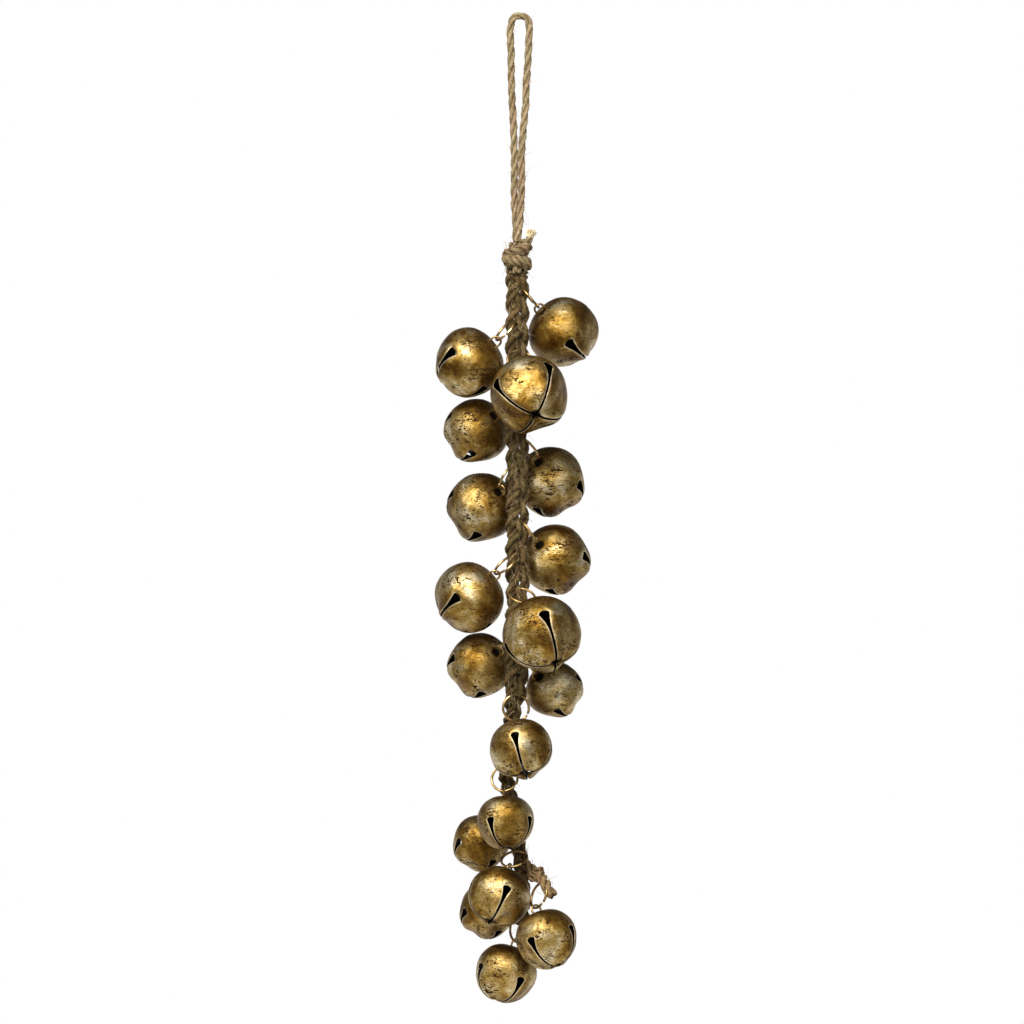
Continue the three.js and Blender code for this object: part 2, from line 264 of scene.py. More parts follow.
def smoothstep(x, low, high):
    t = np.clip((x - low) / (high - low), 0, 1)
    return t * t * (3 - 2 * t)


def lerp(a, b, t):
    return a + (b - a) * t


def smooth_route(points, count):
    """A centripetal Catmull-Rom curve through the points, in evenly spaced steps."""
    points = np.array(points, float)
    before = 2 * points[0] - points[1]
    after = 2 * points[-1] - points[-2]
    through = np.vstack([before, points, after])
    fine = []
    for a, b, c, d in zip(through, through[1:], through[2:], through[3:]):
        knots = [0.0]
        for start, end in ((a, b), (b, c), (c, d)):
            knots.append(knots[-1] + max(np.linalg.norm(end - start) ** 0.5, 1e-6))
        k0, k1, k2, k3 = knots
        for t in np.linspace(k1, k2, 40, endpoint=False):
            ab = lerp(a, b, (t - k0) / (k1 - k0))
            bc = lerp(b, c, (t - k1) / (k2 - k1))
            cd = lerp(c, d, (t - k2) / (k3 - k2))
            abc = lerp(ab, bc, (t - k0) / (k2 - k0))
            bcd = lerp(bc, cd, (t - k1) / (k3 - k1))
            fine.append(lerp(abc, bcd, (t - k1) / (k2 - k1)))
    return evenly(np.array([*fine, points[-1]]), count)


def length_of(line):
    return float(np.linalg.norm(np.diff(line, axis=0), axis=1).sum())


def along_line(line):
    """The distance run along a line up to each of its points."""
    return np.concatenate([[0], np.cumsum(np.linalg.norm(np.diff(line, axis=0), axis=1))])


def evenly(line, count):
    """The same line in count evenly spaced points."""
    run = along_line(line)
    at = np.linspace(0, run[-1], count)
    return np.stack([np.interp(at, run, line[:, k]) for k in range(3)], axis=1)


def cross_frames(line, first_side=(1, 0, 0)):
    """Two directions across a line at each point, carried along it without twist."""
    along = unit(np.gradient(line, axis=0))
    side = np.array(first_side, float)
    sides = []
    for t in along:
        side = unit(side - t * (side @ t))
        sides.append(side)
    sides = np.array(sides)
    return sides, np.cross(along, sides)


# Mesh helpers

class MeshParts:
    """Points, faces and named point values of a piece, gathered before its mesh is made."""

    def __init__(self):
        self.points = []
        self.faces = []
        self.values = {}
        self.count = 0

    def add(self, points, faces, **values):
        self.faces.extend([tuple(i + self.count for i in face) for face in faces])
        self.points.append(np.asarray(points, float))
        for name, rows in values.items():
            self.values.setdefault(name, []).append(np.asarray(rows, float))
        self.count += len(points)

    def make(self, name, material, body, nodes=()):
        """The finished piece, which rides its body and stands for the given solids."""
        mesh = bpy.data.meshes.new(name)
        mesh.from_pydata(np.vstack(self.points).tolist(), [], self.faces)
        for value_name, blocks in self.values.items():
            rows = np.concatenate(blocks)
            kind, field = ("FLOAT_VECTOR", "vector") if rows.ndim == 2 else ("FLOAT", "value")
            attribute = mesh.attributes.new(value_name, kind, "POINT")
            attribute.data.foreach_set(field, rows.ravel().astype(np.float32))
        mesh.polygons.foreach_set("use_smooth", [True] * len(mesh.polygons))
        mesh.materials.append(material)
        piece = bpy.data.objects.new(name, mesh)
        bpy.context.scene.collection.objects.link(piece)
        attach(piece, body)
        if nodes:
            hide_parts(*nodes)
        return piece


def tube(line, radii, sides):
    """Points and faces of a round tube along a line, closed at both ends."""
    radii = np.broadcast_to(radii, len(line))
    across, up = cross_frames(line, first_side=most_level(line))
    angle = np.linspace(0, TURN, sides, endpoint=False)
    ring = np.cos(angle)[None, :, None] * across[:, None] + np.sin(angle)[None, :, None] * up[:, None]
    points = (line[:, None] + ring * radii[:, None, None]).reshape(-1, 3)
    rows = len(line)
    faces = []
    for i in range(rows - 1):
        for k in range(sides):
            m = (k + 1) % sides
            faces.append((i * sides + k, i * sides + m, (i + 1) * sides + m, (i + 1) * sides + k))
    faces.append(tuple(range(sides))[::-1])
    faces.append(tuple((rows - 1) * sides + k for k in range(sides)))
    return points, faces


def most_level(line):
    """The axis that lies most nearly across the line's start."""
    start = unit(line[1] - line[0])
    axes = np.eye(3)
    return axes[np.argmin(np.abs(start @ axes.T))]


def rounded_ends(line, radius):
    """Radii along a line that close each end in a half ball."""
    run = along_line(line)
    near_end = np.minimum(run, run[-1] - run)
    inside = np.clip(near_end / radius, 0, 1)
    return radius * np.sqrt(np.clip(1 - (1 - inside) ** 2, 0.02, 1))


# Material helpers

class Graph:
    """Adds and links the nodes of one material or world."""

    def __init__(self, owner):
        owner.use_nodes = True
        self.owner = owner
        self.tree = owner.node_tree

    def connect(self, node, inputs):
        for key, value in inputs.items():
            if isinstance(value, bpy.types.NodeSocket):
                self.tree.links.new(value, node.inputs[key])
            else:
                node.inputs[key].default_value = value

    def node(self, kind, inputs=None, **settings):
        made = self.tree.nodes.new(kind)
        for key, value in settings.items():
            setattr(made, key, value)
        self.connect(made, inputs or {})
        return made

    def place(self):
        """The place on the piece, in metres."""
        return self.node("ShaderNodeTexCoord").outputs["Object"]

    def stretch(self, vector, factors):
        return self.node("ShaderNodeVectorMath", {0: vector, 1: factors}, operation="MULTIPLY").outputs[0]

    def value_of(self, name, output="Fac"):
        return self.node("ShaderNodeAttribute", attribute_name=name).outputs[output]

    def noise(self, vector, scale, detail, roughness=0.55, distortion=0.0):
        inputs = {
            "Vector": vector,
            "Scale": scale,
            "Detail": detail,
            "Roughness": roughness,
            "Distortion": distortion,
        }
        return self.node("ShaderNodeTexNoise", inputs).outputs["Fac"]

    def ramp(self, value, stops):
        made = self.node("ShaderNodeValToRGB", {"Fac": value})
        elements = made.color_ramp.elements
        while len(elements) < len(stops):
            elements.new(0.5)
        for element, (position, colour) in zip(elements, stops):
            element.position = position
            element.color = (*colour, 1)
        return made.outputs["Color"]

    def range(self, value, low, high, to_low=0.0, to_high=1.0):
        """A smooth step from to_low at low to to_high at high."""
        inputs = {"Value": value, "From Min": low, "From Max": high, "To Min": to_low, "To Max": to_high}
        return self.node("ShaderNodeMapRange", inputs, interpolation_type="SMOOTHSTEP").outputs[0]

    def math(self, operation, a, b):
        return self.node("ShaderNodeMath", {0: a, 1: b}, operation=operation).outputs[0]

    def mix(self, share, a, b):
        """Colour a with a share of colour b over it."""
        first, second = ((*c, 1) if isinstance(c, tuple) else c for c in (a, b))
        return self.node("ShaderNodeMix", {"Factor": share, 6: first, 7: second}, data_type="RGBA").outputs[2]

    def bump(self, height, distance, strength, below=None):
        inputs = {"Height": height, "Distance": distance, "Strength": strength}
        if below is not None:
            inputs["Normal"] = below
        return self.node("ShaderNodeBump", inputs).outputs["Normal"]

    def finish(self, **sockets):
        """Sets or links the sockets of the material's shader."""
        shader = self.tree.nodes["Principled BSDF"]
        self.connect(shader, {key.replace("_", " "): value for key, value in sockets.items()})
        return self.owner


GOLD_STOPS = [
    (0.34, (0.09, 0.04, 0.005)),
    (0.45, (0.26, 0.15, 0.027)),
    (0.555, (0.52, 0.37, 0.13)),
    (0.67, (0.83, 0.73, 0.48)),
]
GOLD_SHADE = (0.13, 0.065, 0.01)
FLECK_BROWN = (0.035, 0.015, 0.003)
WORN_RIM = (0.85, 0.72, 0.47)
# Near black for the inner wall and the sunken neck: painted shade
PAINTED_SHADE_INSIDE = (0.014, 0.01, 0.006)
WIRE_STOPS = [(0.34, (0.14, 0.08, 0.025)), (0.5, (0.4, 0.26, 0.095)), (0.7, (0.8, 0.62, 0.33))]
STEEL_STOPS = [(0.35, (0.05, 0.045, 0.04)), (0.7, (0.22, 0.2, 0.18))]


def antique_gold():
    """Gold leaf on stamped sheet: olive patches, dark flecks in clusters, worn bright rims, and painted shade
    that darkens the inside and the sunken neck.
    """
    g = Graph(bpy.data.materials.new("antique_gold"))
    place = g.place()
    level = g.stretch(place, (1, 1, 2.2))
    patches = g.noise(place, 60, detail=4, roughness=0.62, distortion=0.5)
    gold = g.ramp(patches, GOLD_STOPS)
    leaf = g.noise(level, 300, detail=7, roughness=0.75, distortion=1.4)
    gold = g.mix(g.range(leaf, 0.38, 0.6), g.mix(0.6, gold, GOLD_SHADE), gold)

    # Flecks and pepper gather in the clusters; the creases are stained everywhere, and more in the clusters.
    clusters = g.range(g.noise(place, 95, detail=2), 0.42, 0.68)
    flecks = g.noise(level, 300, detail=4, roughness=0.62, distortion=1.2)
    speckle = g.range(g.math("ADD", flecks, g.math("MULTIPLY", clusters, 0.08)), 0.605, 0.635)
    grains = g.noise(level, 780, detail=3, roughness=0.6, distortion=0.8)
    pepper = g.range(g.math("ADD", grains, g.math("MULTIPLY", clusters, 0.1)), 0.63, 0.66)
    creases = g.noise(level, 190, detail=8, roughness=0.74, distortion=2.2)
    stain = g.math("MULTIPLY", g.range(creases, 0.54, 0.66), g.range(clusters, 0.1, 0.9, 0.25, 0.9))
    dirt = g.math("MAXIMUM", g.math("MAXIMUM", speckle, pepper), stain)

    edge = g.value_of("rim")
    dirt_off_rim = g.math("MULTIPLY", dirt, g.math("SUBTRACT", 1.0, edge))
    colour = g.mix(dirt_off_rim, gold, FLECK_BROWN)
    colour = g.mix(g.math("MULTIPLY", edge, 0.6), colour, WORN_RIM)
    # Painted shade: the inner wall and the sunken neck round the bail are painted near black.
    painted_shade = g.math("MAXIMUM", g.value_of("inside"), g.value_of("neck"))
    colour = g.mix(painted_shade, colour, PAINTED_SHADE_INSIDE)

    rough = g.math("ADD", g.range(leaf, 0.3, 0.7, 0.42, 0.26), g.math("MULTIPLY", dirt, 0.3))
    rough = g.math("ADD", rough, g.math("MULTIPLY", painted_shade, 0.35))
    metal = g.math("SUBTRACT", 1.0, g.math("MULTIPLY", dirt, 0.9))
    dented = g.bump(g.noise(place, 120, detail=2, roughness=0.5), 1.3 * MM, 0.5)
    wrinkled = g.bump(leaf, 0.42 * MM, 0.8, below=dented)
    pitted = g.bump(g.math("SUBTRACT", 1.0, dirt), 0.12 * MM, 0.6, below=wrinkled)
    return g.finish(
        Base_Color=colour,
        Metallic=metal,
        Roughness=rough,
        Normal=pitted,
        Specular_IOR_Level=0.05,
    )


def aged_wire():
    g = Graph(bpy.data.materials.new("aged_wire"))
    tarnish = g.noise(g.place(), 260, detail=4, roughness=0.65)
    return g.finish(
        Base_Color=g.ramp(tarnish, WIRE_STOPS),
        Metallic=1.0,
        Roughness=g.range(tarnish, 0.3, 0.7, 0.42, 0.24),
        Normal=g.bump(tarnish, 0.1 * MM, 0.4),
    )


def pellet_steel():
    g = Graph(bpy.data.materials.new("pellet_steel"))
    worn = g.noise(g.place(), 500, detail=4)
    return g.finish(
        Base_Color=g.ramp(worn, STEEL_STOPS),
        Metallic=1.0,
        Roughness=g.range(worn, 0.3, 0.7, 0.35, 0.6),
        Normal=g.bump(worn, 0.15 * MM, 0.5),
    )


def tinted(colour, red, green, blue):
    return colour[0] * red, colour[1] * green, colour[2] * blue


def jute(name, pale, middle, dark):
    """Spun jute: fibres run along each ply, with painted shade darkening the hollows between the plies."""
    g = Graph(bpy.data.materials.new(name))
    lay = g.value_of("lay", "Vector")
    fibres = g.noise(lay, 3.4, detail=6, roughness=0.7)
    fine = g.noise(lay, 11, detail=3, roughness=0.7)
    colour = g.ramp(fibres, [(0.36, dark), (0.5, middle), (0.62, pale)])
    bleached = tuple(min(1, c * 1.5) for c in pale)
    colour = g.mix(g.range(fine, 0.56, 0.74, 0.0, 0.7), colour, bleached)
    patches = g.noise(g.place(), 190, detail=5, roughness=0.65)
    colour = g.mix(g.range(patches, 0.4, 0.66, 0.0, 0.6), colour, dark)

    # The tone value runs from olive at 0 to warm at 1.
    tone = g.value_of("tone")
    colour = g.mix(g.range(tone, 0.5, 1.0, 0.0, 0.5), colour, tinted(middle, 1.08, 0.93, 1.05))
    colour = g.mix(g.range(tone, 0.0, 0.5, 0.5, 0.0), colour, tinted(middle, 0.72, 0.82, 0.72))
    # Painted shade: the hollows between the plies are painted darker towards the middle of the twine.
    painted_hollow_shade = g.math("MULTIPLY", g.value_of("hollow"), 0.8)
    colour = g.mix(painted_hollow_shade, colour, tinted(dark, 0.3, 0.3, 0.3))
    raised = g.bump(fibres, 0.6 * MM, 0.9)
    spun = g.bump(fine, 0.25 * MM, 0.8, below=raised)
    return g.finish(
        Base_Color=colour,
        Metallic=0.0,
        Roughness=0.92,
        Normal=spun,
        Specular_IOR_Level=0.12,
    )


GOLD = antique_gold()
WIRE = aged_wire()
STEEL = pellet_steel()
TWINE = jute("jute_twine", (0.58, 0.46, 0.28), (0.37, 0.275, 0.15), (0.13, 0.084, 0.034))
KNOT = jute("jute_knot", (0.48, 0.37, 0.21), (0.29, 0.21, 0.105), (0.09, 0.056, 0.02))
BRAID = jute("jute_braid", (0.43, 0.315, 0.15), (0.175, 0.116, 0.043), (0.028, 0.016, 0.004))
TAN = jute("jute_tan", (0.52, 0.36, 0.18), (0.3, 0.19, 0.08), (0.09, 0.05, 0.018))
FIBRE = jute("jute_fibre", (0.7, 0.56, 0.36), (0.55, 0.42, 0.25), (0.32, 0.22, 0.12))
CUT_END = jute("jute_cut_end", (0.9, 0.82, 0.58), (0.78, 0.68, 0.43), (0.5, 0.38, 0.2))


# Camera

def photograph_camera():
    """The photograph's view: level, from far away, one pixel for each PIXEL at the loop's depth."""
    data = bpy.data.cameras.new("camera")
    data.lens = LENS_MM
    data.sensor_width = SENSOR_MM
    data.clip_start = CAMERA_NEAR
    data.clip_end = CAMERA_FAR
    distance = FRAME_PIXELS * PIXEL / SENSOR_MM * LENS_MM
    middle = FRAME_PIXELS / 2
    camera = bpy.data.objects.new("camera", data)
    camera.location = (
        (middle - LOOP_APEX_PIXEL[0]) * PIXEL,
        -distance,
        (LOOP_APEX_PIXEL[1] - middle) * PIXEL,
    )
    camera.rotation_euler = (math.pi / 2, 0, 0)
    bpy.context.scene.collection.objects.link(camera)
    bpy.context.scene.camera = camera


photograph_camera()


# Cords

KNOT_TOP = -LOOP_LENGTH
BRAID_TOP = KNOT_TOP - KNOT_HEIGHT - FIT_GAP


def braid_points(shares):
    """The points of a route given as shares of the braid's length."""
    return [(BRAID_LENGTH * x - STRAND_OFFSET, BRAID_LENGTH * y, BRAID_TOP - BRAID_LENGTH * drop)
            for x, y, drop in shares]


def loop_points():
    half_width = (LOOP_INNER_WIDTH + LOOP_TWINE_DIAMETER) / 2
    pair_half = (LOOP_TWINE_DIAMETER + FIT_GAP) / 2
    arc_centre = LOOP_TWINE_DIAMETER / 2 - half_width

    def leg(side):
        return [(
            side * lerp(together * pair_half, half_width, apart) - STRAND_OFFSET * drop,
            side * depth * pair_half,
            (KNOT_TOP + PILE_GAP) * drop,
        ) for together, depth, apart, drop in LOOP_LEG_SHARES]

    top = [(half_width * math.cos(a), 0, arc_centre + half_width * math.sin(a))
           for a in np.radians([180, 135, 90, 45, 0])]
    return [*leg(-1), *top, *leg(1)[::-1]]


def noise_along(run, per_metre, shift, level=0):
    """A smooth noise between -1 and 1 at each distance run along a line."""
    return np.array([noise.noise(Vector((shift, s * per_metre, level))) for s in run])


def wander(line, reach, per_metre, seed):
    """A line that strays a little to every side, as hand-made twine does."""
    run = along_line(line)
    stray = np.stack([noise_along(run, per_metre, seed * 3.3 + 17 * k) for k in range(3)], axis=1)
    return line + reach * stray


def add_ply(parts, line, radius, axis_line, hollow_shade_radius, seed, sides):
    """One spun ply along its own line. Its lay value runs round and along it, so that fibres follow it.

    Its hollow shade value, which the material paints as shade between the plies, rises towards axis_line, the
    middle of the twine or strand that it is part of.
    """
    run = along_line(line)
    thick = 1 + PLY_UNEVENNESS * noise_along(run, 210, seed * 7.3)
    radii = np.broadcast_to(radius, len(line)) * thick
    points, faces = tube(line, radii, sides)

    around = np.tile(np.linspace(0, TURN, sides, endpoint=False), len(line))
    along = np.repeat(run, sides)
    fibre_places = [(math.cos(a) * FIBRES_ROUND + seed, math.sin(a) * FIBRES_ROUND, s * FIBRES_PER_METRE)
                    for a, s in zip(around, along)]
    rough = np.array([noise.noise(Vector(spot)) for spot in fibre_places])
    points = points + (points - np.repeat(line, sides, axis=0)) * (FIBRE_RELIEF * rough)[:, None]

    turned = around + along * PLY_TWIST_PER_METRE
    lay = np.stack([np.cos(turned) + seed * 3.1, np.sin(turned), along * LAY_PER_METRE], axis=1)
    slow = noise_along(run, 24, seed * 11.7, level=5)
    tone = np.repeat(np.clip(0.5 + 0.9 * slow + 0.25 * math.sin(seed * 2.4), 0, 1), sides)
    off_axis = np.linalg.norm(points - np.repeat(axis_line, sides, axis=0), axis=1)
    hollow = 1 - np.clip(off_axis / np.repeat(np.broadcast_to(hollow_shade_radius, len(line)), sides), 0, 1)
    parts.add(points, faces, lay=lay, hollow=np.clip(hollow * 2.2, 0, 1), tone=tone)


def add_twine(parts, line, diameter, pitch, seed, fullness=1.07, sides=10):
    """Twine of three plies laid round each other along a line. Fuller plies leave shallower grooves."""
    count = max(int(length_of(line) / PLY_STEP), 12)
    line = evenly(line, count)
    run = np.linspace(0, length_of(line), count)
    across, up = cross_frames(line, first_side=most_level(line))
    ply_radius = diameter / 2 / TWINE_OVER_PLY * fullness
    reach = diameter / 2 - ply_radius
    for ply in range(3):
        angle = TURN * (run / pitch + ply / 3)
        centre = line + reach * (np.cos(angle)[:, None] * across + np.sin(angle)[:, None] * up)
        add_ply(parts, centre, ply_radius, line, diameter / 2, seed + ply, sides)


def add_hair(parts, line, thickness, sides, random):
    """One loose fibre, of a middle tone and with a lay of its own."""
    points, faces = tube(line, thickness, sides)
    own_place = np.full(len(points), random.uniform(0, 50))
    lay = np.stack([own_place, points[:, 0] * HAIR_LAY_PER_METRE, points[:, 2] * HAIR_LAY_PER_METRE], axis=1)
    parts.add(points, faces, lay=lay, hollow=np.zeros(len(points)), tone=np.full(len(points), 0.5))


def stray_fibres(name, line, radii, count, reach, seed):
    """Fine loose hairs that leave the cord at a low angle and curl."""
    random = np.random.default_rng(seed)
    parts = MeshParts()
    across, up = cross_frames(line, first_side=most_level(line))
    along = unit(np.gradient(line, axis=0))
    radii = np.broadcast_to(radii, len(line))
    t = np.linspace(0, 1, 8)[:, None]
    for _ in range(count):
        i = int(random.integers(2, len(line) - 2))
        angle = random.uniform(0, TURN)
        out = math.cos(angle) * across[i] + math.sin(angle) * up[i]
        side = np.cross(along[i], out)
        way = along[i] * random.choice([-1, 1]) * random.uniform(0.5, 1.4) + side * random.uniform(-0.9, 0.9)
        way = unit(way + out * random.uniform(0.1, 0.7))
        size = reach * random.uniform(0.35, 1.0) ** 1.5
        curl = random.normal(0, 0.28, 3)
        hair = line[i] + out * radii[i] * 0.86 + way * size * t + (curl * size) * t * t
        hair += np.sin(t * random.uniform(2, 5)) * side * size * 0.12
        thickness = np.linspace(0.09, 0.035, 8) * MM * random.uniform(0.7, 1.4)
        add_hair(parts, hair, thickness, 4, random)
    return parts.make(name, FIBRE, "rope")


def hanging_loop():
    line = wander(smooth_route(loop_points(), 480), LOOP_STRAY, LOOP_STRAYS_PER_METRE, seed=2)
    into_knot = np.array([0, 0, LOOP_END_IN_KNOT])
    whole = np.vstack([line[0] - into_knot, line, line[-1] - into_knot])
    parts = MeshParts()
    add_twine(parts, whole, LOOP_TWINE_DIAMETER * LOOP_SWELL, LOOP_TWINE_PITCH, seed=1,
              fullness=LOOP_TWINE_FULLNESS)
    loop = parts.make("hanging_loop_twine", TWINE, "rope", ["hanging_loop"])
    hairs = stray_fibres("hanging_loop_fibres", line, LOOP_TWINE_DIAMETER / 2, 130, reach=7 * MM, seed=11)


def braided_cord():
    """Three strands of three plies each, plaited flat. The lower third is thinner and plaited tighter."""
    count = 900
    line = smooth_route(braid_points(BRAID_ROUTE_SHARES), count)
    total = length_of(line)
    run = np.linspace(0, total, count)
    thin = smoothstep(run / total, THIN_SHARE - 0.02, THIN_SHARE + 0.03)
    thick = lerp(BRAID_DIAMETER * BRAID_SWELL, THIN_BRAID_DIAMETER * THIN_BRAID_SWELL, thin)
    across, up = cross_frames(line)
    half_width = STRAND_SWAY_SHARE * thick
    half_depth = STRAND_DEPTH_SHARE * thick
    radius = STRAND_RADIUS_SHARE * thick
    ply_radius = radius * STRAND_PLY_SHARE
    ply_reach = (radius - ply_radius)[:, None]
    pitch = BRAID_PITCH * thick / BRAID_DIAMETER
    phase = np.concatenate([[0], np.cumsum(np.diff(run) * TURN / pitch[1:])])
    parts = MeshParts()
    for strand in range(3):
        turn = phase + TURN * strand / 3
        uneven = 1 + STRAND_UNEVENNESS * noise_along(run, 55, strand * 5.1, level=1)
        sway = half_width * uneven * np.sin(turn)
        centre = line + sway[:, None] * across + (half_depth * np.sin(2 * turn))[:, None] * up
        strand_across, strand_up = cross_frames(centre)
        for ply in range(3):
            angle = TURN * (along_line(centre) / STRAND_PLY_PITCH + ply / 3)
            offset = np.cos(angle)[:, None] * strand_across + np.sin(angle)[:, None] * strand_up
            add_ply(parts, centre + ply_reach * offset, ply_radius, centre, radius * 1.15,
                    seed=20 + 3 * strand + ply, sides=9)
    cord = parts.make("braid_jute", BRAID, "rope", ["braid_upper", "braid_lower"])
    hairs = stray_fibres("braid_fibres", line, thick * 0.42, count=620, reach=8 * MM, seed=12)
    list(side_tail())


def wrapped_coil(parts, centre, radius, height, turns, twine, tilt, seed, start=0.6):
    """Twine wound round a knot. Its right side is raised by the tilt."""
    t = np.linspace(0, 1, int(turns * 40))
    angle = TURN * turns * t + start
    bulge = radius * (1 + 0.06 * np.sin(5 * angle) - 0.25 * (2 * t - 1) ** 2)
    line = np.stack([
        bulge * np.cos(angle),
        -bulge * np.sin(angle),
        lerp(-0.5, 0.5, t) * height + tilt * np.cos(angle),
    ], axis=1) + centre
    add_twine(parts, line, twine, COIL_TWINE_PITCH, seed, sides=9)


def top_knot():
    """Wraps that cross over a core of three plies, with one cut tail standing up at the right."""
    centre = np.array([-STRAND_OFFSET, 0, KNOT_TOP - KNOT_HEIGHT / 2])
    parts = MeshParts()
    twine = KNOT_TWINE_DIAMETER
    wrap_radius = KNOT_DIAMETER / 2 - KNOT_WRAP_SINK * twine
    low = centre - (0, 0, 0.15 * KNOT_HEIGHT)
    high = centre + (0, 0, 0.17 * KNOT_HEIGHT)
    wrapped_coil(parts, low, wrap_radius, height=0.24 * KNOT_HEIGHT, turns=2.1, twine=twine, tilt=-1.4 * MM,
                 seed=40, start=2.2)
    wrapped_coil(parts, high, wrap_radius * 0.98, height=0.22 * KNOT_HEIGHT, turns=2.2, twine=twine,
                 tilt=2.4 * MM, seed=45, start=-0.4)
    for k in range(3):
        angle = TURN * k / 3 + 0.5
        core = np.array([KNOT_CORE_REACH * math.cos(angle), KNOT_CORE_REACH * math.sin(angle), 0])
        top = centre + core + (0, 0, 0.4 * KNOT_HEIGHT)
        bottom = centre + core * KNOT_CORE_SPREAD - (0, 0, KNOT_HEIGHT / 2)
        add_twine(parts, np.linspace(top, bottom, 20), twine, KNOT_CORE_PITCH, seed=50 + k)
    parts.make("top_knot_wraps", KNOT, "rope", ["top_knot"])

    lean = np.array([math.sin(KNOT_TAIL_LEAN), 0, math.cos(KNOT_TAIL_LEAN)])
    root = centre + (0.27 * KNOT_DIAMETER, 0, 0)
    tip = root + lean * (KNOT_HEIGHT + KNOT_TAIL_LENGTH) / 2
    tail = MeshParts()
    tail_line = np.linspace(root, tip - lean * 2.5 * MM, 24)
    add_twine(tail, tail_line, LOOP_TWINE_DIAMETER, KNOT_TAIL_PITCH, seed=60)
    tail.make("top_knot_tail", TWINE, "rope")
    base = tip - lean * 4 * MM
    frayed_end("top_knot_fray", base, lean, LOOP_TWINE_DIAMETER / 2, FRAY_LENGTH, count=260, seed=13)
    axis = np.linspace(centre - (0, 0, KNOT_HEIGHT / 2), centre + (0, 0, KNOT_HEIGHT / 2), 40)
    stray_fibres("top_knot_fibres", axis, KNOT_DIAMETER / 2, count=90, reach=6 * MM, seed=14)


def frayed_end(name, base, way, radius, reach, count, seed):
    """The pale cut fibres at the end of a piece of twine."""
    random = np.random.default_rng(seed)
    parts = MeshParts()
    side = unit(np.cross(way, (0, 1, 0)))
    up = np.cross(side, way)
    t = np.linspace(0, 1, 6)[:, None]
    for _ in range(count):
        angle = random.uniform(0, TURN)
        out = math.cos(angle) * side + math.sin(angle) * up
        near = random.uniform(0, 1) ** 0.5
        spread = random.uniform(0, 0.3)
        share = random.uniform(0.75, 1)
        hair = base + out * radius * near * 0.9 + (way + out * near * spread) * reach * share * t
        hair += random.normal(0, 0.07, 3) * reach * t * t
        add_hair(parts, hair, np.linspace(0.2, 0.11, 6) * MM, 5, random)
    parts.make(name, CUT_END, "rope")


def side_tail():
    """The short tail that leaves the cord near its end, with one knot."""
    line = smooth_route(braid_points(SIDE_TAIL_ROUTE_SHARES), 80)
    parts = MeshParts()
    add_twine(parts, line, SIDE_TAIL_DIAMETER * SIDE_TAIL_SWELL, SIDE_TAIL_PITCH, seed=70)
    seat = line[int(SIDE_KNOT_PLACE * len(line))]
    wrapped_coil(parts, seat, SIDE_KNOT_DIAMETER / 2 - 1.6 * MM, SIDE_KNOT_HEIGHT, turns=2.2,
                 twine=SIDE_KNOT_TWINE_DIAMETER, tilt=0.8 * MM, seed=80)
    tail = parts.make("side_tail_jute", TAN, "rope", ["side_tail"])
    hairs = stray_fibres("side_tail_fibres", line, SIDE_TAIL_DIAMETER * 0.42, count=60, reach=7 * MM, seed=15)
    return tail, hairs


hanging_loop()
braided_cord()
top_knot()


# Bells

JOINTS = {joint["name"]: joint for joint in frame["joints"]}


class Chain:
    """Where one bell's ring and shell hang, and which way they face, taken from its joints.

    The bell tilts about the ring's lowest point and sways about the top of its bail.
    """

    def __init__(self, label, size, tilt, sway, spin):
        self.label = label
        self.radius = BELL_RADII[size]
        self.crown = self.radius * (1 - CROWN_FLAT_SHARE)
        self.spin = math.radians(spin)
        ring, swing = JOINTS[f"ring_{label}_turn"], JOINTS[f"bell_{label}_swing"]
        self.ring_centre = np.array(ring["pos_m"], float)
        lowest = np.array(swing["pos_m"], float)
        up = -unit(lowest - self.ring_centre)
        across = unit(np.array(ring["axis"], float))
        self.ring_axes = np.array([across, np.cross(up, across), up])
        tilted = np.array(Matrix.Rotation(-math.radians(tilt), 3, "Y"))
        link = tilted @ np.array(Matrix.Rotation(math.radians(sway), 3, "X"))
        self.bell_axes = link.T @ self.ring_axes
        hook = tilted @ (0, 0, BAIL_OVER_RING)
        hang = link @ (0, 0, -BAIL_RISE - self.crown)
        self.bell_centre = lowest + (hook + hang) @ self.ring_axes

    def ring_points(self, local):
        return np.asarray(local) @ self.ring_axes + self.ring_centre

    def bell_points(self, local):
        return np.asarray(local) @ self.bell_axes + self.bell_centre


def shell_reach(radius, polar, around):
    """Distance of the shell from the bell's centre, as in the part: drawn in between the slits."""
    drawn_in = smoothstep(polar, PINCH_START, PINCH_FULL) * (1 - smoothstep(polar, PINCH_EASE, math.pi))
    crown = 1 - smoothstep(polar, 0, CROWN_END)
    flat = smoothstep(polar, PINCH_FULL, math.pi)
    pinch = PETAL_PINCH_SHARE * drawn_in * np.sin(2 * around) ** 2
    return radius * (1 - pinch) * (1 - CROWN_FLAT_SHARE * crown) * (1 - BASE_FLAT_SHARE * flat)


def neck_share(radius, polar):
    """How far a place on the crown lies inside the sunken neck that the bail's legs enter."""
    return 1 - smoothstep(radius * np.sin(polar), 0.8 * NECK_RADIUS, 1.25 * NECK_RADIUS)


def keyhole_head(radius):
    """The height of the keyhole's head and its half width."""
    return KEYHOLE_HEIGHT_SHARE * radius, KEYHOLE_WIDTH_SHARE * radius / 2


def keyhole_half_width(radius, z):
    """Half the opening's width at a height: a low arch with sharp corners over a taper to the slit."""
    centre, head = keyhole_head(radius)
    corner = centre + KEYHOLE_CORNER * head
    arch = head * np.sqrt(np.clip(1 - ((z - corner) / (KEYHOLE_ARCH * head)) ** 2, 0, None))
    end = -KEYHOLE_TAPER_SHARE * radius
    t = np.clip((corner - z) / (corner - end), 0, 1)
    taper = lerp(SLIT_WIDTH / 2, head, (1 - t) ** KEYHOLE_TAPER_POWER)
    return np.where(z > corner, arch, taper)


